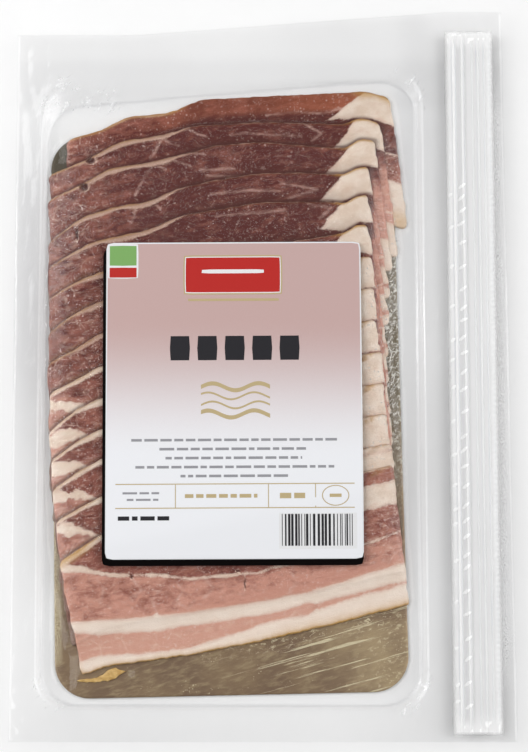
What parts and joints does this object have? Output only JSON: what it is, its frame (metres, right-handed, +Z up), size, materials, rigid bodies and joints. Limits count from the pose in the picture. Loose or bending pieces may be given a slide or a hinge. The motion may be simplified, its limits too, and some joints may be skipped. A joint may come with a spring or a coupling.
{
  "type": "vacuum pack of sliced bacon",
  "caption": "Flat clear vacuum pouch of shingled bacon slices on a board, with a zip down one margin and a blank front label on a black backing card.",
  "frame": {"origin": "middle of the pack's footprint, at the level of the pocket floor it rests on", "axes": "+Z up out of the front label, +Y towards the pack's top end, +X towards the zip margin"},
  "size_m": [0.2151, 0.3176, 0.0098],
  "materials": {
    "film": "gloss",
    "zip": "gloss",
    "label": "satin",
    "backing": "satin",
    "meat": "satin",
    "board": "satin"
  },
  "bodies": {
    "root": {"pouch": "film", "zip_strip": "zip", "label": "label", "label_backing": "backing"}
  },
  "joints": []
}
